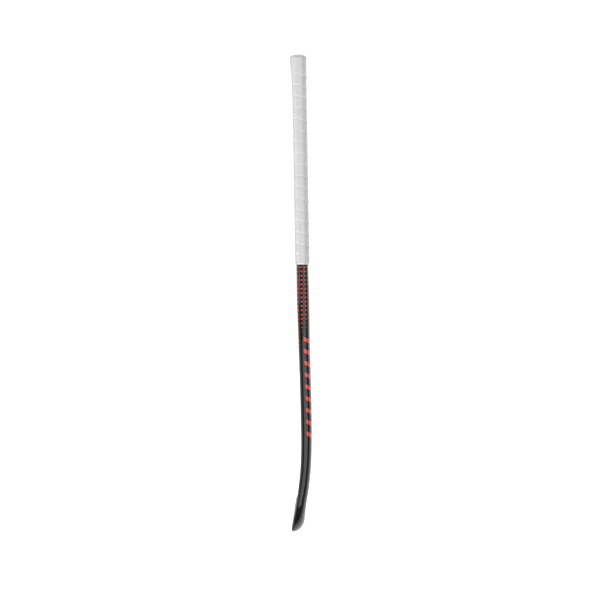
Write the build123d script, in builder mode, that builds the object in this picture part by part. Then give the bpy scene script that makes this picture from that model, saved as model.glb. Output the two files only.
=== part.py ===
from build123d import *
from math import cos, radians, sin
import os

# A composite field hockey stick held upright, in millimetres. +Z runs up the handle, the flat
# playing side faces -X, the rounded back faces +X, and the toe of the hook points to +Y.
# Heights are measured from the lowest point of the hook. When a piece is saved it moves down,
# so that the origin is on the handle's axis at the middle of the grip, where a hand holds it.

# Driving dimensions
STICK_LENGTH = 925.0  # an adult stick of the nominal 36.5 inches
BAND_WIDTH = 47.0  # width of the flat side through the hook
HOOK_RADIUS = 38.0  # of the band's centre line
HOOK_TURN = 155.0  # degrees from straight down to the toe
HOOK_DEPTH = 23.1  # face to back at the bottom of the hook
HOOK_CENTRE_HEIGHT = 62.24  # measured up the sloping face line
FACE_TILT = 10.8  # degrees between the flat head and the handle's axis
FACE_CROWN = 0.9  # how far the laminate bulges before the face is planed flat
FLAT_END_LEAN = 1.35  # degrees, the face line's lean where its planed flat runs out
FOOT_OFFSET = -31.3  # face line from the handle's axis at the stick's foot

WALL = 2.2  # outer laminate
TUBE_WALL = 0.8  # inner laminate tubes
BOND = 0.05  # adhesive line between bonded pieces
FILL = WALL + BOND  # inset of everything that fills the shell

CORE_TOP = 82.0  # the solid head filling ends here and the two inner tubes start
TUBE_TOP = 760.0
PATCH_WIDTH = 30.0  # aramid strike patch behind the face
PATCH_PLY = 0.8
PATCH_SETBACK = 10.0  # the patch stops this far under the core's top

HANDLE_START = 516.0  # the shell's section is constant above this height
FINISH_BOTTOM = 520.2
GRIP_BOTTOM = 525.0
FLARE_BOTTOM = 815.0
PLUG_BOTTOM = 884.0
PLUG_WALL = 2.5
SHELL_TOP = 916.0
COLLAR_TOP = 918.05
CAP_BOTTOM = COLLAR_TOP + BOND
CAP_RIM = 0.8
CAP_CENTRE = -2.0  # the domed cap's middle, from the handle's axis
SPIGOT_RADIUS = 4.0
SPIGOT_LENGTH = 9.0
CUSHION = 0.9  # foam underlay
TAPE = 1.0
GRIP_CENTRE = (GRIP_BOTTOM + COLLAR_TOP) / 2

# Shaft sections: height, face line from the handle's axis, width, depth face to back,
# depth of the widest line behind the face, and how square the outline is.
SHAFT = [
    (HANDLE_START, -10.9, 31.5, 22.3, 10.0, 0.60),
    (470.0, -10.95, 33.5, 23.0, 9.5, 0.62),
    (400.0, -10.7, 37.0, 22.9, 8.6, 0.64),
    (335.0, -9.5, 40.2, 22.0, 7.4, 0.65),
    (270.0, -8.6, 42.8, 22.05, 7.0, 0.65),
    (205.0, -8.2, 44.8, 21.65, 6.6, 0.65),
    (155.0, -9.0, 46.0, 21.2, 6.4, 0.63),
    (115.0, -11.8, 46.6, 20.9, 6.0, 0.60),
    (86.0, -15.5, 46.9, 20.6, 5.2, 0.58),
    (68.0, -18.35, BAND_WIDTH, 20.2, 4.7, 0.55),
]
FLAT_END = 2  # index of the section where the planed flat starts to run out
HOOK_SHOULDER = 3.3
HOOK_FULLNESS = 0.50
HOOK_SECTIONS = 15

# Proportions of every D-shaped section: how the outline's curves are pulled between its middle
# on the face, its widest line and its middle on the back.
FACE_REACH = 0.8  # of half the width, how far the face runs flat
SIDE_PULL = 0.6  # of the depth from face to widest line
BACK_REACH = 0.93  # of half the width, times the squareness
SHOULDER_SHIFT = 0.6  # the widest line's move per millimetre of inset
BACK_FLARE = 1 / 6  # how far the back stands out where the face side flares by 1

# Flare of the grip towards the butt: height and how far its face side stands out
FLARE = [
    (FLARE_BOTTOM, 0.0),
    (838.0, 0.3),
    (860.0, 0.75),
    (881.0, 1.55),
    (896.0, 2.35),
    (905.0, 3.05),
    (911.0, 3.9),
    (COLLAR_TOP, 4.3),
]
# Finishing tape: height and how far it stands off the shell
FINISH_PROFILE = [(FINISH_BOTTOM, 0.5), (522.0, 1.5), (GRIP_BOTTOM - BOND, 1.85)]
DOME_ANGLES = (0, 28, 50, 68, 80)  # degrees round the quarter ellipse of the cap's dome


def section(plane, size, inset=0.0, crown=FACE_CROWN, flare=0.0, toe_half=False):
    """A D-shaped face on plane: the playing side at y = 0, the rounded back at +y."""
    width, depth, shoulder, fullness = size
    half = width / 2 - inset + flare / 2
    front = inset - crown - flare
    back = depth - inset + flare * BACK_FLARE
    widest = shoulder + SHOULDER_SHIFT * max(inset, 0)
    face_reach = FACE_REACH * half
    side_pull = SIDE_PULL * (widest - front)
    back_pull = fullness * (back - widest)
    back_reach = BACK_REACH * fullness * half
    with BuildSketch(plane) as drawn:
        with BuildLine():
            Bezier((0, front), (face_reach, front), (half, widest - side_pull), (half, widest))
            Bezier((half, widest), (half, widest + back_pull), (back_reach, back), (0, back))
            if toe_half:
                Line((0, back), (0, front))
            else:
                mirror(about=Plane.YZ)
        make_face()
    return drawn.sketch


def below(height):
    """Split the active part and keep what is under the height."""
    split(bisect_by=Plane.XY.offset(height), keep=Keep.BOTTOM)


def above(height):
    """Split the active part and keep what is over the height."""
    split(bisect_by=Plane.XY.offset(height), keep=Keep.TOP)


def save(piece, name):
    """Label a finished piece, move it to the grip's origin and write it as one STEP file."""
    piece.part = piece.part.moved(Location((0, 0, -GRIP_CENTRE)))
    piece.part.label = name
    export_step(piece.part, f"parts/{name}.step")


# The face line runs from the foot up the flat head, through the bow and up the handle.
tilt = radians(FACE_TILT)
lean = radians(FLAT_END_LEAN)
head_up = Vector(sin(tilt), 0, cos(tilt))
head_back = Vector(cos(tilt), 0, -sin(tilt))
toe_side = Vector(0, 1, 0)
flat_end_up = Vector(-sin(lean), 0, cos(lean))
foot = Vector(FOOT_OFFSET, 0, 0)
hook_centre = foot + head_up * HOOK_CENTRE_HEIGHT + toe_side * HOOK_RADIUS

face_points = [Vector(offset, 0, height) for height, offset, *_ in SHAFT]
flat_points = list(reversed(face_points[FLAT_END:]))
lower_bow = Spline(*flat_points, tangents=[head_up, flat_end_up])
upper_bow = Spline(*reversed(face_points[: FLAT_END + 1]), tangents=[flat_end_up, (0, 0, 1)])


def shaft_plane(index):
    """Plane across the shaft at one section, square to the face line."""
    curve = upper_bow if index < FLAT_END else lower_bow
    point = face_points[index]
    up = curve.tangent_at(curve.param_at_point(point))
    return Plane(origin=point, x_dir=toe_side, z_dir=up * -1)


def hook_plane(angle):
    """Plane across the hook after turning by an angle in degrees from straight down."""
    turn = radians(angle)
    inward = toe_side * cos(turn) + head_up * sin(turn)
    along = toe_side * sin(turn) - head_up * cos(turn)
    return Plane(origin=hook_centre - inward * HOOK_RADIUS, x_dir=inward, z_dir=along)


def hook_size(angle):
    """Section sizes round the hook: it deepens over the first half of the turn."""
    share = min(1.0, angle / (HOOK_TURN / 2))
    _, _, _, depth, shoulder, fullness = SHAFT[-1]
    depth += (HOOK_DEPTH - depth) * share
    shoulder += (HOOK_SHOULDER - shoulder) * share
    fullness += (HOOK_FULLNESS - fullness) * share
    return BAND_WIDTH, depth, shoulder, fullness


# Everything in front of the playing side: flat over the head, bowed up the shaft, and running
# straight on where the face fades into the round handle.
CLEAR = 60.0
heel = flat_points[0] - head_up * (flat_points[0].Z + CLEAR)
run_out = flat_points[-1] + flat_end_up * 3 * CLEAR
with BuildPart() as face_cutter:
    with BuildSketch(Plane.XZ):
        with BuildLine():
            Line((heel.X, heel.Z), (flat_points[0].X, flat_points[0].Z))
            Spline(
                *[(point.X, point.Z) for point in flat_points],
                tangents=[(head_up.X, head_up.Z), (flat_end_up.X, flat_end_up.Z)],
            )
            Polyline(
                (flat_points[-1].X, flat_points[-1].Z),
                (run_out.X, run_out.Z),
                (heel.X - CLEAR, run_out.Z),
                (heel.X - CLEAR, heel.Z),
                (heel.X, heel.Z),
            )
        make_face()
    extrude(amount=3 * BAND_WIDTH, both=True)


def stick_form(inset, top):
    """The whole stick as one closed form with its face planed, set in from the outside."""
    slices = [section(shaft_plane(i), size, inset) for i, (_, _, *size) in enumerate(SHAFT)]
    for step in range(HOOK_SECTIONS):
        angle = HOOK_TURN * step / (HOOK_SECTIONS - 1)
        slices.append(section(hook_plane(angle), hook_size(angle), inset))
    toe_plane = hook_plane(HOOK_TURN)
    toe_half = section(toe_plane, hook_size(HOOK_TURN), inset, toe_half=True)
    toe_axis = Axis(toe_plane.origin, toe_plane.y_dir * -1)
    with BuildPart() as form:
        loft(slices)
        revolve(toe_half, axis=toe_axis, revolution_arc=180)
        extrude(slices[0], amount=HANDLE_START - top)
        add(face_cutter.part.translate(head_back * inset), mode=Mode.SUBTRACT)
    return form.part


os.makedirs("parts", exist_ok=True)

# Outer laminate: hollow from the toe to its open end under the butt cap.
with BuildPart() as outer_shell:
    add(stick_form(0.0, SHELL_TOP))
    add(stick_form(WALL, SHELL_TOP + 1), mode=Mode.SUBTRACT)
save(outer_shell, "outer_shell")

# Head: an aramid strike patch let into the solid core that fills the hook.
filling = stick_form(FILL, SHELL_TOP)
head_plane = Plane(origin=foot, x_dir=toe_side, z_dir=head_back)


def patch_form(width, thickness):
    """A band that follows the hook just behind the face."""
    patch_top = (CORE_TOP - PATCH_SETBACK) / head_up.Z
    centre = (HOOK_RADIUS, HOOK_CENTRE_HEIGHT)
    with BuildPart() as band:
        with BuildSketch(head_plane.offset(FILL)):
            with BuildLine():
                outside = CenterArc(centre, HOOK_RADIUS + width / 2, 180, HOOK_TURN)
                crook = CenterArc(centre, HOOK_RADIUS - width / 2, 180, HOOK_TURN)
                Polyline(outside @ 0, (-width / 2, patch_top), (width / 2, patch_top), crook @ 0)
                toe_end = Line(outside @ 1, crook @ 1)
            make_face()
            with Locations(toe_end @ 0.5):
                Circle(width / 2)
        extrude(amount=thickness)
    return band.part


with BuildPart() as face_patch:
    add(patch_form(PATCH_WIDTH, PATCH_PLY))
save(face_patch, "face_patch")

with BuildPart() as head_core:
    add(filling)
    below(CORE_TOP)
    add(patch_form(PATCH_WIDTH + 2 * BOND, PATCH_PLY + BOND), mode=Mode.SUBTRACT)
save(head_core, "head_core")

# Shaft: two inner laminate tubes side by side, whose touching walls make the centre rib.
chambers = stick_form(FILL + TUBE_WALL, SHELL_TOP)
rib_plane = Plane(origin=(0, 0, 0), x_dir=(1, 0, 0), z_dir=toe_side)
for name, keep, side in (("toe_side_tube", Keep.TOP, 1), ("heel_side_tube", Keep.BOTTOM, -1)):
    with BuildPart() as chamber:
        add(chambers)
        above(CORE_TOP + BOND + TUBE_WALL)
        below(TUBE_TOP - TUBE_WALL)
        split(bisect_by=rib_plane.offset(side * (BOND / 2 + TUBE_WALL)), keep=keep)
    with BuildPart() as tube:
        add(filling)
        above(CORE_TOP + BOND)
        below(TUBE_TOP)
        split(bisect_by=rib_plane.offset(side * BOND / 2), keep=keep)
        add(chamber.part, mode=Mode.SUBTRACT)
    save(tube, name)


def handle_section(height, outset=0.0, flare=0.0, scale=1.0):
    """Section of a layer on the handle, outset from the shell and flared on its face side."""
    _, face_line, *lengths, fullness = SHAFT[0]
    size = [length * scale for length in lengths] + [fullness]
    face_x = CAP_CENTRE + scale * (face_line - CAP_CENTRE)
    plane = Plane(origin=(face_x, 0, height), x_dir=toe_side, z_dir=(0, 0, -1))
    return section(plane, size, -outset * scale, FACE_CROWN * scale, flare * scale)


def handle_prism(bottom, top, outset, mode=Mode.ADD):
    """Add or cut a straight length of the handle's section in the active part."""
    extrude(handle_section(bottom, outset), amount=bottom - top, mode=mode)


def flared_sleeve(bottom, outset):
    """A layer's outer form from bottom to the top of the grip, flared towards the butt."""
    with BuildPart() as sleeve:
        if bottom < FLARE_BOTTOM:
            handle_prism(bottom, FLARE_BOTTOM, outset)
        loft([handle_section(height, outset, flare) for height, flare in FLARE], ruled=True)
    return sleeve.part


# Handle: a damping foam insert, and the plug that closes the shell.
with BuildPart() as handle_foam:
    handle_prism(TUBE_TOP + BOND, PLUG_BOTTOM - BOND, -FILL)
save(handle_foam, "handle_foam")

with BuildPart() as butt_plug:
    handle_prism(PLUG_BOTTOM, SHELL_TOP + BOND, -FILL)
    handle_prism(SHELL_TOP + BOND, COLLAR_TOP, 0.0)
    handle_prism(PLUG_BOTTOM, SHELL_TOP - PLUG_WALL, -FILL - PLUG_WALL, mode=Mode.SUBTRACT)
    with Locations((0, 0, COLLAR_TOP)):
        Hole(SPIGOT_RADIUS + BOND)
save(butt_plug, "butt_plug")

# Grip: foam underlay, a rubber collar that flares its top, the wound tape and its finish band.
with BuildPart() as cushion_wrap:
    handle_prism(GRIP_BOTTOM, FLARE_BOTTOM - BOND, CUSHION)
    handle_prism(GRIP_BOTTOM, FLARE_BOTTOM, BOND, mode=Mode.SUBTRACT)
save(cushion_wrap, "cushion_wrap")

with BuildPart() as flare_collar:
    add(flared_sleeve(FLARE_BOTTOM, CUSHION))
    handle_prism(FLARE_BOTTOM, COLLAR_TOP, BOND, mode=Mode.SUBTRACT)
save(flare_collar, "flare_collar")

with BuildPart() as grip_tape:
    add(flared_sleeve(GRIP_BOTTOM, CUSHION + BOND + TAPE))
    add(flared_sleeve(GRIP_BOTTOM, CUSHION + BOND), mode=Mode.SUBTRACT)
save(grip_tape, "grip_tape")

with BuildPart() as finishing_tape:
    loft([handle_section(height, outset) for height, outset in FINISH_PROFILE], ruled=True)
    handle_prism(FINISH_BOTTOM, GRIP_BOTTOM, BOND, mode=Mode.SUBTRACT)
save(finishing_tape, "finishing_tape")

# Butt: a domed rubber cap with a spigot that presses into the plug.
dome_rise = (STICK_LENGTH - CAP_BOTTOM - CAP_RIM) / sin(radians(DOME_ANGLES[-1]))
cap_outset = CUSHION + BOND + TAPE
cap_flare = FLARE[-1][1]
dome = []
for angle in DOME_ANGLES:
    height = CAP_BOTTOM + CAP_RIM + dome_rise * sin(radians(angle))
    dome.append(handle_section(height, cap_outset, cap_flare, cos(radians(angle))))
with BuildPart() as butt_cap:
    extrude(handle_section(CAP_BOTTOM, cap_outset, cap_flare), amount=-CAP_RIM)
    loft(dome)
    with BuildSketch(Plane.XY.offset(CAP_BOTTOM)):
        Circle(SPIGOT_RADIUS)
    extrude(amount=-SPIGOT_LENGTH)
save(butt_cap, "butt_cap")
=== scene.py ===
"""Looks for a composite field hockey stick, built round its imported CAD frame.

The stick stands upright: +Z runs up the handle, the flat playing side faces -X, the rounded back
faces +X and the toe of the hook points to +Y. Lengths below are in millimetres and are turned
into metres when a mesh is made. Heights are measured from the floor under the hook.
"""
import math

import bmesh
import bpy
import numpy as np
from mathutils import Matrix, Vector


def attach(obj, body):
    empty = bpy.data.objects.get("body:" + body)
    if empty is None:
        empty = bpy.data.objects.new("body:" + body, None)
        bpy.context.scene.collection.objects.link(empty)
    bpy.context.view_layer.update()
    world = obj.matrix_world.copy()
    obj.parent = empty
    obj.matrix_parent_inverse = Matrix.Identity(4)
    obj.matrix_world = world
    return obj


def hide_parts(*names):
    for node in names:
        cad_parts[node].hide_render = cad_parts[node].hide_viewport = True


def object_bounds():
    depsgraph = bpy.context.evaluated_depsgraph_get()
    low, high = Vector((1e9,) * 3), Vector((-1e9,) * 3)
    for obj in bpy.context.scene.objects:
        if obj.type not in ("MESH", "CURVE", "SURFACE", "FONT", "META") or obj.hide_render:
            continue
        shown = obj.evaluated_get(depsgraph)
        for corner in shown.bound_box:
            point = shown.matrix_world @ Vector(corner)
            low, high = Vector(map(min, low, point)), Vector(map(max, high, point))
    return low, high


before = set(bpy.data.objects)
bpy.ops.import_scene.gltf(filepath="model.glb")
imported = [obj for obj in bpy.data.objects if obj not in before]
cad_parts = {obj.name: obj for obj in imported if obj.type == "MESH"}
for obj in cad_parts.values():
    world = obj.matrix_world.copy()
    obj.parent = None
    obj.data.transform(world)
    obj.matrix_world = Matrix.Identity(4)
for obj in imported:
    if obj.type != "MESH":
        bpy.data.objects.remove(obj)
cad_low, cad_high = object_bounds()

MM = 0.001
WELD_DISTANCE = 2e-6  # metres
CUT_TOLERANCE = 1e-6  # metres
SHARP_ANGLE = math.radians(50)  # a fold between faces that is shaded as an edge
FLOOR_Z = cad_low.z

# ---------------------------------------------------------------- sizes of the stick
BAND_WIDTH = 47.0  # width of the flat side through the hook
HOOK_RADIUS = 38.0
HOOK_TURN = 155.0  # degrees that the hook goes round
HOOK_CENTRE_HEIGHT = 62.24
FACE_TILT = math.radians(10.8)  # the head's flat side against the handle's axis
FACE_CROWN = 0.9
FLAT_END_HEIGHT = 400.0  # the flat face starts to run out above here
FLAT_END_LEAN = math.radians(1.35)
FOOT_OFFSET = -31.3
WALL = 2.0
NOT_PLANED = -9.0  # a level so far out that the face keeps its crown
EDGE_BLEND = 0.5  # half the depth over which the planed face rounds into the sides

# Proportions of every D-shaped section: how its curves are pulled between its three key points
FACE_REACH = 0.8
SIDE_PULL = 0.6
BACK_REACH = 0.93
SHOULDER_SHIFT = 0.6
BACK_FLARE = 1 / 6

# Height, face line from the handle's axis, width, depth, depth of the widest line, squareness
STATIONS = np.array([
    (68.0, -18.35, BAND_WIDTH, 20.2, 4.7, 0.55),
    (86.0, -15.5, 46.9, 20.6, 5.2, 0.58),
    (115.0, -11.8, 46.6, 20.9, 6.0, 0.60),
    (155.0, -9.0, 46.0, 21.2, 6.4, 0.63),
    (205.0, -8.2, 44.8, 21.65, 6.6, 0.65),
    (270.0, -8.6, 42.8, 22.05, 7.0, 0.65),
    (335.0, -9.5, 40.2, 22.0, 7.4, 0.65),
    (400.0, -10.7, 37.0, 22.9, 8.6, 0.64),
    (470.0, -10.95, 33.5, 23.0, 9.5, 0.62),
    (516.0, -10.9, 31.5, 22.3, 10.0, 0.60),
])
HANDLE_START = STATIONS[-1, 0]
HANDLE_STEP = 20.0  # between sections of the straight handle
HANDLE_SIZE = STATIONS[-1, 2:]
HOOK_DEPTH = 23.1
HOOK_SHOULDER = 3.3
HOOK_FULLNESS = 0.50
HOOK_BLEND_START = -10.0  # degrees

SHELL_TOP = 916.0
GRIP_BOTTOM = 523.1
GRIP_TOP = 918.0
LEVEL_TURN = 903.0  # the strip lies level round the butt from here up
LEVEL_TURN_BLEND = 8.0
FLARE = np.array([
    (815.0, 0.0), (838.0, 0.3), (860.0, 0.75), (881.0, 1.55), (896.0, 2.35), (905.0, 3.05),
    (911.0, 3.9), (918.05, 4.3),
])
TAPE_OUTSET = 1.95
TAPE_INSIDE = 1.0
WRAP_PITCH = 21.75
WRAP_START = 19.1  # height of a seam above the grip's lower end
HANDLE_SIDE_STEPS = 26
HANDLE_BACK_STEPS = 24
CAP_BOTTOM = 918.1
CAP_RIM = 0.8
CAP_TOP = 925.0
CAP_CENTRE = -2.0
SPIGOT_RADIUS = 4.0
SPIGOT_LENGTH = 9.0


def smooth_curve(knots, values, start_slope, end_slope):
    """A cubic spline with both end slopes given, as a function of where along the knots."""
    count = len(knots)
    step = np.diff(knots)
    left = np.eye(count)
    right = np.zeros_like(values)
    right[0] = start_slope
    right[-1] = end_slope
    for i in range(1, count - 1):
        left[i, i - 1:i + 2] = step[i], 2 * (step[i - 1] + step[i]), step[i - 1]
        before = (values[i] - values[i - 1]) / step[i - 1]
        after = (values[i + 1] - values[i]) / step[i]
        right[i] = 3 * (step[i] * before + step[i - 1] * after)
    slopes = np.linalg.solve(left, right)

    def at(where):
        where = np.atleast_1d(np.asarray(where, float))
        i = np.clip(np.searchsorted(knots, where) - 1, 0, count - 2)
        span = step[i].reshape((-1,) + (1,) * (values.ndim - 1))
        t = (where - knots[i]).reshape(span.shape) / span
        return (
            (1 + 2 * t) * (1 - t) ** 2 * values[i]
            + t * (1 - t) ** 2 * span * slopes[i]
            + t * t * (3 - 2 * t) * values[i + 1]
            + t * t * (t - 1) * span * slopes[i + 1]
        )

    return at


face_line = smooth_curve(STATIONS[:, 0], STATIONS[:, 1], math.tan(FACE_TILT), 0.0)
shaft_size = smooth_curve(STATIONS[:, 0], STATIONS[:, 2:], 0.0, 0.0)
flare_at = smooth_curve(FLARE[:, 0], FLARE[:, 1], 0.0, 0.0)


def smoothstep(low, high, value):
    share = np.clip((value - low) / (high - low), 0.0, 1.0)
    return share * share * (3 - 2 * share)


def outline(share, size, inset=0.0, crown=FACE_CROWN, flare=0.0):
    """Half of the D-shaped section: share runs 0 at the face's middle, 1 at the widest line, 2 at
    the back's middle. Returns how far across and how far behind the face line. Broadcasts."""
    width, depth, shoulder, fullness = size
    half = width / 2 - inset + flare / 2
    front = inset - crown - flare
    back = depth - inset + flare * BACK_FLARE
    widest = shoulder + SHOULDER_SHIFT * np.maximum(inset, 0)
    face_reach = FACE_REACH * half
    side_pull = SIDE_PULL * (widest - front)
    back_pull = fullness * (back - widest)
    back_reach = BACK_REACH * fullness * half

    def bezier(t, a, b, c, d):
        return (1 - t) ** 3 * a + 3 * (1 - t) ** 2 * t * b + 3 * (1 - t) * t * t * c + t ** 3 * d

    first = np.minimum(share, 1.0)
    second = np.maximum(share - 1.0, 0.0)
    on_side = share <= 1.0
    across = np.where(
        on_side,
        bezier(first, 0.0, face_reach, half, half),
        bezier(second, half, half, back_reach, 0.0),
    )
    behind = np.where(
        on_side,
        bezier(first, front, front, widest - side_pull, widest),
        bezier(second, widest, widest + back_pull, back, back),
    )
    return across, behind


def planed(behind, level):
    """Behind, cut off at level, with the edge rounded over twice EDGE_BLEND."""
    over = np.clip(behind - level, -EDGE_BLEND, EDGE_BLEND)
    rounded = level + (over + EDGE_BLEND) ** 2 / (4 * EDGE_BLEND)
    return np.where(behind > level + EDGE_BLEND, behind, rounded)


def round_the_section(side_steps, back_steps):
    """Shares and signs for columns once round: face, toe side, back, heel side, face again."""
    half = np.concatenate([
        np.linspace(0, 1, side_steps, endpoint=False),
        np.linspace(1, 2, back_steps + 1),
    ])
    shares = np.concatenate([half, half[-2::-1]])
    signs = np.concatenate([np.ones(len(half)), -np.ones(len(half) - 1)])
    return shares, signs


# ---------------------------------------------------------------- mesh making
def make_mesh(name, grids, extra_faces=(), uv_name=None):
    """One object from grids of points. Each grid is (points[row, column, 3], uv[row, column, 2] or
    None, closed): a closed grid's last column repeats its first. Millimetres above the floor."""
    points, faces, face_uvs = [], [], []
    offset = 0
    for grid, uv, closed in grids:
        rows, columns = grid.shape[:2]
        kept = columns - 1 if closed else columns
        points.append(grid[:, :kept].reshape(-1, 3))
        for i in range(rows - 1):
            for j in range(columns - 1):
                corners = [(i, j), (i, j + 1), (i + 1, j + 1), (i + 1, j)]
                faces.append([offset + r * kept + c % kept for r, c in corners])
                face_uvs.append([uv[r, c] if uv is not None else (0.0, 0.0) for r, c in corners])
        offset += rows * kept
    for face in extra_faces:
        faces.append(face)
        face_uvs.append([(0.0, 0.0)] * len(face))
    world = np.concatenate(points) * MM
    world[:, 2] += FLOOR_Z
    mesh = bpy.data.meshes.new(name)
    mesh.from_pydata(world.tolist(), [], faces)
    if uv_name:
        layer = mesh.uv_layers.new(name=uv_name)
        layer.data.foreach_set("uv", np.array([c for f in face_uvs for c in f], float).ravel())
    tidy_mesh(mesh)
    piece = bpy.data.objects.new(name, mesh)
    bpy.context.scene.collection.objects.link(piece)
    return piece


def tidy_mesh(mesh):
    """Welds coincident points, drops faces with no area, turns normals out and shades smooth."""
    work = bmesh.new()
    work.from_mesh(mesh)
    bmesh.ops.remove_doubles(work, verts=work.verts, dist=WELD_DISTANCE)
    bmesh.ops.dissolve_degenerate(work, edges=work.edges, dist=WELD_DISTANCE / 2)
    bmesh.ops.recalc_face_normals(work, faces=work.faces)
    shade(work)
    work.to_mesh(mesh)
    work.free()
    mesh.validate()


def shade(work):
    """Smooth shading, broken where two faces meet at more than SHARP_ANGLE."""
    for face in work.faces:
        face.smooth = True
    for edge in work.edges:
        edge.smooth = len(edge.link_faces) == 2 and edge.calc_face_angle(0.0) < SHARP_ANGLE


# ---------------------------------------------------------------- the laminate shell
head_up = np.array((math.sin(FACE_TILT), 0.0, math.cos(FACE_TILT)))
head_back = np.array((math.cos(FACE_TILT), 0.0, -math.sin(FACE_TILT)))
toe_side = np.array((0.0, 1.0, 0.0))
foot = np.array((FOOT_OFFSET, 0.0, 0.0))
hook_centre = foot + head_up * HOOK_CENTRE_HEIGHT + toe_side * HOOK_RADIUS


def hook_frame(angle):
    """Origin and inward direction of the hook's section after a turn, in degrees."""
    turn = math.radians(angle)
    inward = toe_side * math.cos(turn) + head_up * math.sin(turn)
    return hook_centre - inward * HOOK_RADIUS, inward


def hook_size(angle):
    """The section's sizes, which reach the hook's own half way round it."""
    share = smoothstep(HOOK_BLEND_START, HOOK_TURN / 2, angle)
    start = STATIONS[0, 2:]
    middle = np.array((BAND_WIDTH, HOOK_DEPTH, HOOK_SHOULDER, HOOK_FULLNESS))
    return start + (middle - start) * share


def shell_rows(inset, shaft_step, hook_step):
    """Sections down the stick: origin, direction across to the toe side, direction to the back,
    sizes and the level the face is planed at."""
    rows = []
    for height in np.arange(SHELL_TOP, HANDLE_START, -HANDLE_STEP):
        origin = np.array((STATIONS[-1, 1], 0.0, height))
        rows.append((origin, toe_side, np.array((1.0, 0.0, 0.0)), HANDLE_SIZE, NOT_PLANED))
    nudge = 0.05
    low = STATIONS[0, 0]
    heights = np.linspace(HANDLE_START, low, int((HANDLE_START - low) / shaft_step) + 1)
    for height in heights:
        x = face_line(height)[0]
        above, below = min(height + nudge, HANDLE_START), height - nudge
        slope = (face_line(above)[0] - face_line(below)[0]) / (above - below)
        if height <= low:
            slope = math.tan(FACE_TILT)
        back = np.array((1.0, 0.0, -slope)) / math.hypot(1.0, slope)
        flat = STATIONS[STATIONS[:, 0] == FLAT_END_HEIGHT][0, 1]
        cut = flat - (height - FLAT_END_HEIGHT) * math.tan(FLAT_END_LEAN) - x
        level = 0.0 if height <= FLAT_END_HEIGHT else min(0.0, cut)
        rows.append((np.array((x, 0.0, height)), toe_side, back, shaft_size(height)[0], level))
    for angle in np.linspace(0, HOOK_TURN, int(HOOK_TURN / hook_step) + 1):
        origin, inward = hook_frame(angle)
        rows.append((origin, inward, head_back, hook_size(angle), 0.0))
    return rows


def section_points(row, shares, signs, inset):
    origin, across_dir, back_dir, size, level = row
    across, behind = outline(shares, size, inset)
    behind = planed(behind, level + inset)
    return origin + (across * signs)[:, None] * across_dir + behind[:, None] * back_dir


def shell_grid(inset, shaft_step, hook_step, shares, signs):
    """The swept surface as a grid of points, with round-the-section and along-the-stick places."""
    rows = shell_rows(inset, shaft_step, hook_step)
    grid = np.array([section_points(row, shares, signs, inset) for row in rows])
    round_step = np.linalg.norm(np.diff(grid, axis=1), axis=2)
    distance = np.concatenate([np.zeros((len(rows), 1)), np.cumsum(round_step, axis=1)], axis=1)
    origins = np.array([row[0] for row in rows])
    along = np.concatenate([[0], np.cumsum(np.linalg.norm(np.diff(origins, axis=0), axis=1))])
    along -= SHELL_TOP - HANDLE_START
    shares_round = distance / distance[:, -1:]
    uv = np.stack([shares_round, np.repeat(along[:, None], grid.shape[1], 1)], axis=2)
    return grid, uv


def toe_dome(inset, half_shares, steps):
    """The round end of the toe: half of the last section swung about its depth line."""
    origin, inward = hook_frame(HOOK_TURN)
    along = np.cross(head_back, inward)
    if along @ toe_side < 0:
        along = -along
    across, behind = outline(half_shares, hook_size(HOOK_TURN), inset)
    behind = planed(behind, inset)
    swing = np.linspace(0, math.pi, steps + 1)
    directions = np.cos(swing)[:, None] * inward + np.sin(swing)[:, None] * along
    points = (
        origin
        + across[:, None, None] * directions[None, :, :]
        + behind[:, None, None] * head_back
    )
    return points


def build_shell():
    """The hollow laminate: an outer and an inner skin, each closed at the toe by its own dome."""
    shares, signs = round_the_section(side_steps=40, back_steps=32)
    half = shares[:len(shares) // 2 + 1]
    outer, outer_uv = shell_grid(0.0, 3.0, 2.2, shares, signs)
    inner, _ = shell_grid(WALL, 9.0, 4.5, shares, signs)
    dome = toe_dome(0.0, half, steps=64)
    dome_uv = np.full(dome.shape[:2] + (2,), outer_uv[-1, 0, 1])
    inner_dome = toe_dome(WALL, half, steps=32)
    columns = outer.shape[1] - 1
    inner_start = outer.shape[0] * columns
    rim = []
    for j in range(columns):
        following = (j + 1) % columns
        rim.append([j, following, inner_start + following, inner_start + j])
    return make_mesh(
        "laminate_shell",
        [(outer, outer_uv, True), (inner, None, True), (dome, dome_uv, False),
         (inner_dome, None, False)],
        extra_faces=rim,
        uv_name="stick",
    )


# ---------------------------------------------------------------- the wound grip
WRAP_PROFILE = np.array([
    (0.0, -0.12), (0.08, 0.02), (0.2, 0.28), (0.36, 0.5), (0.55, 0.64), (0.8, 0.70), (1.2, 0.68),
    (1.8, 0.50), (2.6, 0.30), (3.6, 0.18), (6.0, 0.10), (10.0, 0.04), (14.0, -0.02),
    (17.5, -0.06), (19.6, -0.09), (20.8, -0.11), (21.4, -0.12),
])  # how far above a seam, and how far the surface stands out from TAPE_OUTSET there
# Rings that make the inside of the tape follow the flare
SLEEVE_HEIGHTS = (600.0, 700.0, 815.0, 840.0, 865.0, 888.0, 897.0, 906.0, 912.0)


def handle_point(shares, signs, height, outset, flare, scale=1.0):
    """Points on a layer round the handle; everything may vary from point to point."""
    size = list(HANDLE_SIZE[:3] * scale) + [HANDLE_SIZE[3]]
    across, behind = outline(shares, size, -outset * scale, FACE_CROWN * scale, flare * scale)
    face_x = CAP_CENTRE + scale * (STATIONS[-1, 1] - CAP_CENTRE)
    return np.stack([face_x + behind, across * signs, height + 0 * across], axis=-1)


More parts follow.
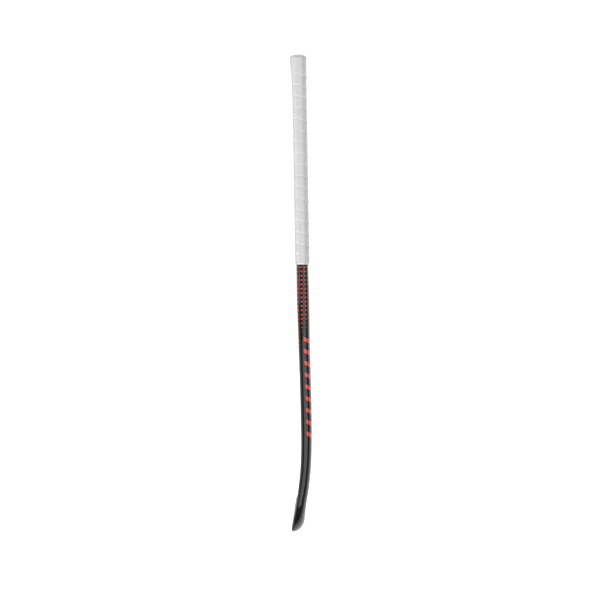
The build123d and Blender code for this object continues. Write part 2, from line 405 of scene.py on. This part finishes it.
def inside_radius(height):
    """The tape's inside at a height, as a function from a direction round the handle to a radius."""
    shares, signs = round_the_section(HANDLE_SIDE_STEPS, HANDLE_BACK_STEPS)
    flare = flare_at(np.clip(height, FLARE[0, 0], FLARE[-1, 0]))[0]
    ring = handle_point(shares, signs, height, TAPE_INSIDE, flare)
    directions = np.arctan2(ring[:, 1], ring[:, 0])
    radii = np.hypot(ring[:, 0], ring[:, 1])
    order = np.argsort(directions)
    return lambda direction: np.interp(
        direction, directions[order], radii[order], period=2 * math.pi
    )


def build_grip():
    """A closed sleeve whose outside is the wound strip: each turn laps over the turn below."""
    shares, signs = round_the_section(HANDLE_SIDE_STEPS, HANDLE_BACK_STEPS)
    columns = len(shares)
    base = handle_point(shares, signs, 0.0, TAPE_OUTSET, 0.0)
    round_step = np.linalg.norm(np.diff(base, axis=0), axis=1)
    turn = np.concatenate([[0], np.cumsum(round_step)]) / round_step.sum()
    # Two turns to spare at each end are cut off level further down
    turns = int((GRIP_TOP - GRIP_BOTTOM) / WRAP_PITCH) + 4
    start = GRIP_BOTTOM - 2 * WRAP_PITCH + WRAP_START
    heights, offsets, wraps, rises = [], [], [], []
    for wrap in range(turns):
        for rise, offset in WRAP_PROFILE:
            heights.append(start + wrap * WRAP_PITCH + rise)
            offsets.append(offset)
            wraps.append(wrap)
            rises.append(rise)
    heights = np.array(heights)[:, None] + turn[None, :] * WRAP_PITCH
    position = np.array(wraps)[:, None] + turn[None, :]
    # Wound by hand: each seam strays a little, and the tape is pulled thinner here and there
    wander = 0.35 * np.sin(1.7 * position) + 0.25 * np.sin(4.1 * position + 1.0)
    swell = 0.05 * np.sin(2.9 * position + 0.5) + 0.04 * np.sin(7.3 * position)
    heights = heights + wander
    # The strip starts with a level turn round the butt, so the top has no seam to show
    relief = 1.0 - smoothstep(LEVEL_TURN - LEVEL_TURN_BLEND, LEVEL_TURN, heights)
    offsets = np.array(offsets)[:, None] * relief + swell
    rises = WRAP_PITCH / 2 + (np.array(rises)[:, None] - WRAP_PITCH / 2) * relief
    flares = flare_at(np.clip(heights.ravel(), FLARE[0, 0], FLARE[-1, 0])).reshape(heights.shape)
    grid = handle_point(shares[None, :], signs[None, :], heights, TAPE_OUTSET + offsets, flares)
    uv = np.stack(np.broadcast_arrays(turn[None, :], rises), axis=2)
    # The strip goes on round: its last column is its first column one turn further up.
    rows = len(heights)
    per_turn = len(WRAP_PROFILE)
    points = grid[:, :-1].reshape(-1, 3) * MM
    points[:, 2] += FLOOR_Z
    kept = columns - 1
    faces, face_uvs = [], []
    for i in range(rows - 1):
        for j in range(kept):
            quad = []
            for r, c in ((i, j), (i, j + 1), (i + 1, j + 1), (i + 1, j)):
                quad.append((r, c) if c < kept else (r + per_turn, 0))
            if quad[1][0] >= rows or quad[2][0] >= rows:
                continue
            faces.append([r * kept + c for r, c in quad])
            face_uvs.append([uv[i, j], uv[i, j + 1], uv[i + 1, j + 1], uv[i + 1, j]])
    mesh = bpy.data.meshes.new("wound_grip")
    mesh.from_pydata(points.tolist(), [], faces)
    layer = mesh.uv_layers.new(name="grip")
    layer.data.foreach_set("uv", np.array([c for f in face_uvs for c in f], float).ravel())
    work = bmesh.new()
    work.from_mesh(mesh)
    for height, direction in ((GRIP_BOTTOM, -1), (GRIP_TOP, 1)):
        bmesh.ops.bisect_plane(
            work,
            geom=work.verts[:] + work.edges[:] + work.faces[:],
            plane_co=(0, 0, FLOOR_Z + height * MM),
            plane_no=(0, 0, direction),
            clear_outer=True,
        )
    # Close it: a plain sleeve that follows the flare on the inside joins both cut ends.
    def cut_rim(height):
        level = FLOOR_Z + height * MM
        return [
            edge for edge in work.edges
            if edge.is_boundary and all(abs(v.co.z - level) < CUT_TOLERANCE for v in edge.verts)
        ]

    def next_ring(edges, height):
        made = bmesh.ops.extrude_edge_only(work, edges=edges)["geom"]
        radius_at = inside_radius(height)
        for vert in (g for g in made if isinstance(g, bmesh.types.BMVert)):
            direction = math.atan2(vert.co.y, vert.co.x)
            radius = float(radius_at(direction)) * MM
            vert.co = (radius * math.cos(direction), radius * math.sin(direction),
                       FLOOR_Z + height * MM)
        return [g for g in made if isinstance(g, bmesh.types.BMEdge)]

    upper = next_ring(cut_rim(GRIP_TOP), GRIP_TOP)
    lower = next_ring(cut_rim(GRIP_BOTTOM), GRIP_BOTTOM)
    for height in SLEEVE_HEIGHTS:
        lower = next_ring(lower, height)
    bmesh.ops.bridge_loops(work, edges=lower + upper)
    bmesh.ops.recalc_face_normals(work, faces=work.faces)
    shade(work)
    work.to_mesh(mesh)
    work.free()
    mesh.validate()
    piece = bpy.data.objects.new("wound_grip", mesh)
    bpy.context.scene.collection.objects.link(piece)
    return piece


# ---------------------------------------------------------------- finishing tape and butt cap
FINISH_PROFILE = (
    (520.25, 0.06), (520.2, 0.25), (520.3, 0.5), (520.55, 0.8), (520.9, 1.02), (521.4, 1.18),
    (522.0, 1.27), (522.5, 1.30), (522.8, 1.28), (522.97, 1.15), (523.03, 0.95), (523.03, 0.06),
    (521.6, 0.06), (520.25, 0.06),
)  # height and how far out from the shell, up the outside and back down the inside
CAP_EDGE = ((0.0, 0.6), (0.0, 0.945), (0.12, 0.966), (0.35, 0.985), (0.6, 0.996))  # rise, scale
CAP_RING_DEPTH = 0.22
CAP_RING_PLACE = 0.83
CAP_RING_WIDTH = 0.03


def build_finishing_tape():
    """The white band that holds the grip's lower end down."""
    shares, signs = round_the_section(HANDLE_SIDE_STEPS, HANDLE_BACK_STEPS)
    rows = [handle_point(shares, signs, height, outset, 0) for height, outset in FINISH_PROFILE]
    return make_mesh("finishing_band", [(np.array(rows), None, True)])


def build_cap():
    """A low rubber dome with a moulded ring, and the round spigot that goes into the plug."""
    flare = FLARE[-1, 1]
    shares, signs = round_the_section(HANDLE_SIDE_STEPS, HANDLE_BACK_STEPS)

    def section(height, scale):
        return handle_point(shares, signs, height, TAPE_OUTSET, flare, scale)

    rim = section(CAP_BOTTOM, 1.0)
    turn = np.arctan2(rim[:, 1], rim[:, 0])
    round_part = SPIGOT_RADIUS * np.stack([np.cos(turn), np.sin(turn), 0 * turn], axis=1)
    spigot_top = round_part + (0.0, 0.0, CAP_BOTTOM)
    spigot_end = spigot_top - (0.0, 0.0, SPIGOT_LENGTH)
    rows = [spigot_end * (0.0, 0.0, 1.0), spigot_end, spigot_top]
    for rise, scale in CAP_EDGE:
        rows.append(section(CAP_BOTTOM + rise, scale))
    rise = CAP_TOP - CAP_BOTTOM - CAP_RIM
    for angle in np.linspace(0, 90, 36)[:-1]:
        scale = math.cos(math.radians(angle))
        ring = CAP_RING_DEPTH * math.exp(-((scale - CAP_RING_PLACE) / CAP_RING_WIDTH) ** 2)
        height = CAP_BOTTOM + CAP_RIM + rise * math.sin(math.radians(angle)) - ring
        rows.append(section(height, scale))
    rows.append(section(CAP_TOP, 0.0))
    return make_mesh("butt_dome", [(np.array(rows), None, True)])


shell = build_shell()
grip = build_grip()
finish_band = build_finishing_tape()
dome = build_cap()

for piece, node, slot in (
    (shell, "outer_shell", "carbon_shell"),
    (grip, "grip_tape", "grip_tape"),
    (finish_band, "finishing_tape", "finishing_tape"),
    (dome, "butt_cap", "cap_rubber"),
):
    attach(piece, "root")
    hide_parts(node)


# ---------------------------------------------------------------- materials
class Paint:
    """A material's node tree, with short ways to add nodes to it."""

    def __init__(self, name):
        self.material = bpy.data.materials.new(name)
        self.material.use_nodes = True
        self.tree = self.material.node_tree
        self.shader = self.tree.nodes["Principled BSDF"]

    def put(self, value, socket):
        if isinstance(value, bpy.types.NodeSocket):
            self.tree.links.new(value, socket)
        else:
            socket.default_value = value

    def node(self, kind, output=0, settings=(), **inputs):
        made = self.tree.nodes.new("ShaderNode" + kind)
        for key, value in settings:
            setattr(made, key, value)
        for key, value in inputs.items():
            self.put(value, made.inputs[key.replace("_", " ")])
        return made.outputs[output]

    def maths(self, operation, *values):
        made = self.tree.nodes.new("ShaderNodeMath")
        made.operation = operation
        for socket, value in zip(made.inputs, values):
            self.put(value, socket)
        return made.outputs[0]

    def span(self, value, low, high, out_low=0.0, out_high=1.0, smooth=False):
        made = self.tree.nodes.new("ShaderNodeMapRange")
        made.interpolation_type = "SMOOTHSTEP" if smooth else "LINEAR"
        for socket, number in zip(made.inputs, (value, low, high, out_low, out_high)):
            self.put(number, socket)
        return made.outputs[0]

    def mix(self, share, first, second):
        made = self.tree.nodes.new("ShaderNodeMix")
        made.data_type = "RGBA"
        self.put(share, made.inputs[0])
        self.put(first, made.inputs[6])
        self.put(second, made.inputs[7])
        return made.outputs[2]

    def noise(self, scale, detail=3.0, vector=None):
        inputs = {"Scale": scale, "Detail": detail}
        if vector is not None:
            inputs["Vector"] = vector
        return self.node("TexNoise", **inputs)

    def place(self):
        return self.node("TexCoord", output="Object")

    def bump(self, height, distance, strength):
        made = self.tree.nodes.new("ShaderNodeBump")
        made.inputs["Strength"].default_value = strength
        made.inputs["Distance"].default_value = distance
        self.put(height, made.inputs["Height"])
        return made.outputs[0]

    def parts(self, vector):
        """The three numbers of a vector."""
        made = self.tree.nodes.new("ShaderNodeSeparateXYZ")
        self.put(vector, made.inputs[0])
        return made.outputs

    def away_from(self, value, middle):
        """The distance of a number from a middle value."""
        return self.maths("ABSOLUTE", self.maths("SUBTRACT", value, middle))

    def set(self, **sockets):
        for key, value in sockets.items():
            self.put(value, self.shader.inputs[key.replace("_", " ")])


def colour(red, green, blue):
    return (red, green, blue, 1.0)


def wear(piece, paint):
    piece.data.materials.clear()
    piece.data.materials.append(paint.material)


# Places on the shell's paint: round the stick from 0 at the face's middle to 1 there again, and
# millimetres down from the grip
DOT_COLUMNS = 11
DOT_PITCH = 8.3
DOT_FIRST_ROW = 0.7
DOT_RADIUS = 1.74
DOT_FADE_LENGTH = 42.0
DOT_SOFT_EDGE = 0.1
STRIPE_SLANT = 0.42
STRIPE_SOFT_EDGE = 0.006  # in stripe pitches
STRIPE_SOFT_END = 0.12
COUNT_SOFT_END = 0.002
BUMP_FINE = 0.00002  # metres


def dots(p, turn, along):
    """Dots in rows across the stick, round in millimetres as the stick widens."""
    column_pitch = p.span(along, 0.0, 141.0, 8.03, 9.06)
    column = p.maths("FRACT", p.maths("MULTIPLY", turn, DOT_COLUMNS))
    across = p.maths("MULTIPLY", p.maths("SUBTRACT", column, 0.5), column_pitch)
    rows_down = p.maths("DIVIDE", p.maths("SUBTRACT", along, DOT_FIRST_ROW), DOT_PITCH)
    row = p.maths("ADD", rows_down, 0.5)
    down = p.maths("MULTIPLY", p.maths("SUBTRACT", p.maths("FRACT", row), 0.5), DOT_PITCH)
    squares = p.maths("ADD", p.maths("MULTIPLY", across, across), p.maths("MULTIPLY", down, down))
    distance = p.maths("SQRT", squares)
    # They shrink to nothing lower down, later on the playing side than on the back
    from_face = p.maths("SUBTRACT", 0.5, p.away_from(turn, 0.5))
    fade_end = p.span(from_face, 0.13, 0.24, 196.0, 136.0, smooth=True)
    fade_end = p.maths("SUBTRACT", fade_end, p.span(from_face, 0.3, 0.5, 0.0, 35.0))
    row_top = p.maths("MULTIPLY", p.maths("FLOOR", row), DOT_PITCH)
    share = p.span(p.maths("SUBTRACT", fade_end, row_top), 0.0, DOT_FADE_LENGTH)
    inside = p.maths("SUBTRACT", p.maths("MULTIPLY", share, DOT_RADIUS), distance)
    shown = p.span(inside, -DOT_SOFT_EDGE, DOT_SOFT_EDGE, smooth=True)
    return p.maths("MULTIPLY", shown, p.span(along, -3.0, -2.9))


def stripes(p, along, sideways, half_length, first, count, pitch, thickness):
    """Slanted stripes, half_length to each side of where sideways is 0."""
    skew = p.maths("ADD", along, p.maths("MULTIPLY", sideways, STRIPE_SLANT))
    which = p.maths("DIVIDE", p.maths("SUBTRACT", skew, first), pitch)
    part = p.away_from(p.maths("FRACT", which), 0.5)
    inside = p.maths("SUBTRACT", thickness / 2 / pitch, part)
    bar = p.span(inside, -STRIPE_SOFT_EDGE, STRIPE_SOFT_EDGE, smooth=True)
    begun = p.span(which, 0.0, COUNT_SOFT_END)
    not_over = p.span(which, count - COUNT_SOFT_END, count, 1.0, 0.0)
    out = p.maths("ABSOLUTE", sideways)
    ends = p.span(out, half_length - STRIPE_SOFT_END, half_length + STRIPE_SOFT_END, 1.0, 0.0)
    return p.maths("MULTIPLY", bar, p.maths("MULTIPLY", p.maths("MULTIPLY", begun, not_over), ends))


def shell_paint():
    """Black woven laminate under a clear coat, with coral dots and slanted stripes."""
    p = Paint("shell_paint")
    place_on_shell = p.parts(p.node("UVMap", settings=[("uv_map", "stick")]))
    turn, along = place_on_shell[0], place_on_shell[1]

    # Wide stripes across the back, and thin ones across the playing side
    girth = p.span(along, 130.0, 340.0, 99.0, 107.0)
    half_turn_on = p.maths("FRACT", p.maths("ADD", turn, 0.5))
    behind = p.maths("MULTIPLY", p.maths("SUBTRACT", turn, 0.5), girth)
    before = p.maths("MULTIPLY", p.maths("SUBTRACT", half_turn_on, 0.5), girth)
    back_stripes = stripes(
        p, along, behind, half_length=24.5, first=138.0, count=9, pitch=22.6, thickness=7.8,
    )
    face_stripes = stripes(
        p, along, before, half_length=14.6, first=222.0, count=4, pitch=24.0, thickness=2.4,
    )
    red = p.maths("MAXIMUM", dots(p, turn, along), p.maths("MAXIMUM", back_stripes, face_stripes))

    # A 2 by 2 twill that barely shows through the black
    place = p.place()
    weave = twill(p, turn, along, 34.0, 0.32)
    speck = p.noise(900.0, 2.0, place)
    black = p.mix(weave, colour(0.0066, 0.0053, 0.0040), colour(0.0092, 0.0076, 0.0060))
    ink = p.mix(speck, colour(0.70, 0.052, 0.040), colour(0.80, 0.075, 0.056))
    p.set(Base_Color=p.mix(red, black, ink))
    p.set(Roughness=p.span(p.noise(14.0, 4.0, place), 0.3, 0.7, 0.30, 0.42))
    p.set(Coat_Weight=1.0, Coat_Roughness=0.03, Coat_IOR=1.5, Specular_IOR_Level=0.12)
    p.set(Normal=p.bump(p.mix(red, weave, colour(1.0, 1.0, 1.0)), BUMP_FINE, 0.3))
    p.set(Coat_Normal=p.bump(p.noise(40.0, 1.0, place), BUMP_FINE, 0.1))
    return p


def twill(p, across, along, tows_across, tows_along):
    """0 to 1 over a 2 by 2 twill of flat tows, with so many tows to a unit each way."""
    u = p.maths("MULTIPLY", across, tows_across)
    v = p.maths("MULTIPLY", along, tows_along)
    step = p.maths("ADD", p.maths("FLOOR", u), p.maths("FLOOR", v))
    over = p.maths("LESS_THAN", p.maths("FRACT", p.maths("MULTIPLY", step, 0.25)), 0.49)
    along_u = p.maths("PINGPONG", u, 0.5)
    along_v = p.maths("PINGPONG", v, 0.5)
    crown = p.mix(over, along_u, along_v)
    return p.maths("MULTIPLY", crown, 2.0)


def grip_paint():
    """Light grey polyurethane with a fine leather grain, and a painted highlight along the edge of
    each turn where it laps over the one below."""
    p = Paint("grip_paint")
    above_seam = p.parts(p.node("UVMap", settings=[("uv_map", "grip")]))[1]
    # Painted highlight: a paler colour just above each seam, along the lower edge of every turn,
    # stands in for the light that edge catches
    painted_seam_highlight = p.maths("MULTIPLY", p.span(above_seam, 0.3, 0.6), p.span(above_seam, 1.5, 2.6, 0.8, 0.0))
    place = p.place()
    grain = p.node("TexVoronoi", Vector=place, Scale=1500.0)
    fine = p.noise(2600.0, 2.0, place)
    broad = p.noise(28.0, 4.0, place)
    shade = p.mix(p.span(broad, 0.35, 0.65), colour(0.63, 0.63, 0.63), colour(0.67, 0.67, 0.67))
    speckle = p.mix(p.span(grain, 0.0, 0.8), shade, colour(0.58, 0.58, 0.58))
    leather = p.mix(0.35, shade, speckle)
    p.set(Base_Color=p.mix(painted_seam_highlight, leather, colour(0.80, 0.80, 0.80)))
    p.set(Roughness=p.span(broad, 0.3, 0.7, 0.34, 0.42), Specular_IOR_Level=0.6)
    surface = p.maths("ADD", p.maths("MULTIPLY", grain, 0.7), p.maths("MULTIPLY", fine, 0.3))
    p.set(Normal=p.bump(surface, 0.00006, 0.35))
    return p


def band_paint():
    """White vinyl tape: faint stretch lines along it and a soft shine."""
    p = Paint("band_paint")
    place = p.place()
    lines = p.noise(1.0, 2.0, p.node("Mapping", Vector=place, Scale=(40.0, 40.0, 4200.0)))
    p.set(Base_Color=p.mix(lines, colour(0.86, 0.86, 0.86), colour(0.93, 0.93, 0.93)))
    p.set(Roughness=p.span(lines, 0.3, 0.7, 0.28, 0.4))
    p.set(Normal=p.bump(lines, 0.00003, 0.4))
    return p


def moulded_paint(name, dark, light, rough, grain_scale, bump):
    """Moulded rubber or plastic: an even colour with a fine texture and slight mottling."""
    p = Paint(name)
    place = p.place()
    grain = p.noise(grain_scale, 3.0, place)
    mottle = p.noise(35.0, 3.0, place)
    p.set(Base_Color=p.mix(p.span(mottle, 0.3, 0.7), dark, light))
    p.set(Roughness=p.span(grain, 0.3, 0.7, rough, rough + 0.12))
    p.set(Normal=p.bump(grain, bump, 0.5))
    return p


def foam_paint(name, dark, light, cell_scale):
    """Closed-cell foam: cells of slightly different tone with pits between them."""
    p = Paint(name)
    place = p.place()
    cells = p.node("TexVoronoi", Vector=place, Scale=cell_scale)
    tone = p.noise(cell_scale / 4, 3.0, place)
    p.set(Base_Color=p.mix(p.maths("MULTIPLY", cells, tone), light, dark))
    p.set(Roughness=p.span(tone, 0.3, 0.7, 0.8, 0.95))
    p.set(Normal=p.bump(cells, 0.0004, 0.6))
    return p


def woven_paint(name, dark, light, rough, tow):
    """Resin-bonded cloth: a twill of flat tows on a solid's own coordinates."""
    p = Paint(name)
    x, y, z = p.parts(p.place())
    weave = twill(p, p.maths("ADD", x, y), z, 1 / tow, 1 / tow)
    p.set(Base_Color=p.mix(weave, dark, light))
    p.set(Roughness=p.span(weave, 0.0, 1.0, rough + 0.1, rough))
    p.set(Normal=p.bump(weave, 0.0001, 0.6))
    return p


def grey(level, blue=0.0):
    return colour(level, level, level + blue)


wear(shell, shell_paint())
wear(grip, grip_paint())
wear(finish_band, band_paint())
wear(dome, moulded_paint("cap_paint", grey(0.56), grey(0.61), 0.42, 1800.0, 0.00005))

core_yellow = (colour(0.5, 0.42, 0.22), colour(0.75, 0.68, 0.45))
aramid = (colour(0.45, 0.32, 0.04), colour(0.85, 0.68, 0.16))
tube = woven_paint("tube_paint", colour(0.012, 0.012, 0.013), grey(0.05, 0.002), 0.35, 0.002)
inside = {
    "toe_side_tube": tube,
    "heel_side_tube": tube,
    "head_core": foam_paint("core_paint", *core_yellow, 900.0),
    "face_patch": woven_paint("patch_paint", *aramid, 0.45, 0.0016),
    "handle_foam": foam_paint("foam_paint", grey(0.09, 0.005), grey(0.2, 0.01), 700.0),
    "butt_plug": moulded_paint(
        "plug_paint", grey(0.03, 0.002), grey(0.05, 0.002), 0.4, 1500.0, 0.00005,
    ),
    "cushion_wrap": foam_paint("underlay_paint", grey(0.08, 0.005), grey(0.18, 0.01), 1200.0),
    "flare_collar": moulded_paint("collar_paint", grey(0.05), grey(0.08), 0.6, 900.0, 0.0001),
}
for node, paint in inside.items():
    wear(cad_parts[node], paint)


# ---------------------------------------------------------------- floor, lights, world, camera
FLOOR_HALF_SIDE = 6.0
FLOOR_GAP = 0.0002


def build_floor():
    """A plain white floor just under the hook. It isn't mirrored and it throws no shadow."""
    mesh = bpy.data.meshes.new("floor")
    side, z = FLOOR_HALF_SIDE, FLOOR_Z - FLOOR_GAP
    corners = [(-side, -side, z), (side, -side, z), (side, side, z), (-side, side, z)]
    mesh.from_pydata(corners, [], [(0, 1, 2, 3)])
    plane = bpy.data.objects.new("floor", mesh)
    bpy.context.scene.collection.objects.link(plane)
    p = Paint("floor_paint")
    p.set(Base_Color=colour(0.85, 0.85, 0.85), Roughness=0.9, Specular_IOR_Level=0.0)
    p.set(Emission_Color=colour(1.0, 1.0, 1.0), Emission_Strength=1.05)
    wear(plane, p)
    plane.visible_glossy = False
    plane.visible_shadow = False
    plane.visible_diffuse = False


def panel(name, direction, distance, rise, tilt, width, height, radiance):
    """A soft light panel facing the stick. Direction is in degrees round the stick, 0 at the
    camera and positive to its right, distance is level, rise is from the stick's middle, tilt
    leans the panel's light down, and radiance is against white at 1."""
    a, t = math.radians(direction), math.radians(tilt)
    level = Vector((math.sin(a), -math.cos(a), 0.0))
    data = bpy.data.lights.new(name, "AREA")
    data.shape = "RECTANGLE"
    data.size, data.size_y = width, height
    data.energy = radiance * math.pi * width * height
    light = bpy.data.objects.new(name, data)
    bpy.context.scene.collection.objects.link(light)
    light.location = level * distance
    light.location.z = (cad_low.z + cad_high.z) / 2 + rise
    light.rotation_mode = "QUATERNION"
    away = level * math.cos(t) + Vector((0.0, 0.0, math.sin(t)))
    light.rotation_quaternion = away.to_track_quat("Z", "Y")
    light.visible_camera = False
    return light


def build_lights():
    # Two panels ahead, one above the other, make the long soft stripe down the shaft
    panel("front_low", direction=26.0, distance=2.7, rise=-0.72, tilt=0.0,
          width=3.5, height=1.38, radiance=1.72)
    panel("front_high", direction=32.0, distance=2.7, rise=1.20, tilt=0.0,
          width=2.5, height=2.46, radiance=1.8)
    # A narrow one and a wide one beside it light the playing side's edge
    panel("left_strip", direction=-52.0, distance=2.6, rise=1.05, tilt=15.0,
          width=0.44, height=2.0, radiance=6.5)
    panel("left_wash", direction=-97.0, distance=2.7, rise=0.54, tilt=0.0,
          width=2.3, height=3.5, radiance=0.5)
    panel("left_fill", direction=-98.0, distance=2.6, rise=0.85, tilt=12.0,
          width=2.5, height=1.3, radiance=1.8)
    panel("top_panel", direction=-30.0, distance=1.9, rise=4.2, tilt=66.0,
          width=4.6, height=3.2, radiance=1.7)
    # What a white floor would throw up onto the grip, kept out of the gloss
    bounce = panel("floor_bounce", direction=-38.0, distance=1.3, rise=-0.7, tilt=-36.0,
                   width=0.8, height=0.8, radiance=4.6)
    bounce.visible_glossy = False


BACKDROP_LEAN = -0.15
DIM_ROOM = 0.1
WHITE_TO_CAMERA = 1.1


def build_world():
    """White to the camera. For everything else a bright backdrop wraps round the stick's rear
    right and under it, and the rest of the room is dim, which is what the gloss mirrors."""
    world = bpy.data.worlds.new("studio")
    world.use_nodes = True
    bpy.context.scene.world = world
    tree = world.node_tree
    tree.nodes.clear()

    def add(kind, **inputs):
        made = tree.nodes.new("ShaderNode" + kind)
        for key, value in inputs.items():
            socket = made.inputs[key.replace("_", " ")]
            if isinstance(value, bpy.types.NodeSocket):
                tree.links.new(value, socket)
            else:
                socket.default_value = value
        return made

    def ramp(value, low, high, out_low, out_high):
        made = add("MapRange", Value=value, From_Min=low, From_Max=high, To_Min=out_low,
                   To_Max=out_high)
        made.interpolation_type = "SMOOTHSTEP"
        return made.outputs[0]

    def maths(operation, *values):
        made = tree.nodes.new("ShaderNodeMath")
        made.operation = operation
        for socket, value in zip(made.inputs, values):
            if isinstance(value, bpy.types.NodeSocket):
                tree.links.new(value, socket)
            else:
                socket.default_value = value
        return made.outputs[0]

    toward = add("SeparateXYZ", Vector=add("TexCoord").outputs["Generated"])
    # The backdrop's edge leans back with height
    leaning = maths("MULTIPLY_ADD", toward.outputs["Z"], BACKDROP_LEAN, toward.outputs["Y"])
    behind = ramp(leaning, 0.10, 0.34, 0.0, 1.0)
    rightward = ramp(toward.outputs["X"], -0.2, 0.15, 0.35, 1.0)
    level = ramp(toward.outputs["Z"], -0.7, 0.0, 0.85, 1.22)
    surround = maths("MULTIPLY", maths("MULTIPLY", behind, rightward), level)
    strength = maths("MAXIMUM", surround, DIM_ROOM)
    dim = add("Background", Color=colour(1.0, 1.0, 1.0), Strength=strength)
    white = add("Background", Color=colour(1.0, 1.0, 1.0), Strength=WHITE_TO_CAMERA)
    blend = tree.nodes.new("ShaderNodeMixShader")
    tree.links.new(add("LightPath").outputs["Is Camera Ray"], blend.inputs[0])
    tree.links.new(dim.outputs[0], blend.inputs[1])
    tree.links.new(white.outputs[0], blend.inputs[2])
    output = tree.nodes.new("ShaderNodeOutputWorld")
    tree.links.new(blend.outputs[0], output.inputs["Surface"])


CAMERA_ROLL = math.radians(0.945)
CAMERA_TILT = math.radians(0.295)
CAMERA_PLACE = Vector((-0.0059, -3.0, FLOOR_Z + 0.4675))
CAMERA_SENSOR = 36.0
CAMERA_LENS = 93.234


def build_camera():
    """Level with the middle of the stick, 3 m away, looking at its heel edge along +Y."""
    roll, tilt = CAMERA_ROLL, CAMERA_TILT
    ahead = Vector((0.0, math.cos(tilt), -math.sin(tilt)))
    level_up = Vector((0.0, math.sin(tilt), math.cos(tilt)))
    right = Vector((math.cos(roll), 0.0, 0.0)) - level_up * math.sin(roll)
    up = Vector((math.sin(roll), 0.0, 0.0)) + level_up * math.cos(roll)
    data = bpy.data.cameras.new("camera")
    data.sensor_width = CAMERA_SENSOR
    data.lens = CAMERA_LENS
    camera = bpy.data.objects.new("camera", data)
    bpy.context.scene.collection.objects.link(camera)
    turn = Matrix((right, up, -ahead)).transposed().to_4x4()
    turn.translation = CAMERA_PLACE
    camera.matrix_world = turn
    bpy.context.scene.camera = camera


build_floor()
build_lights()
build_world()
build_camera()
bpy.context.scene.view_settings.view_transform = "Standard"
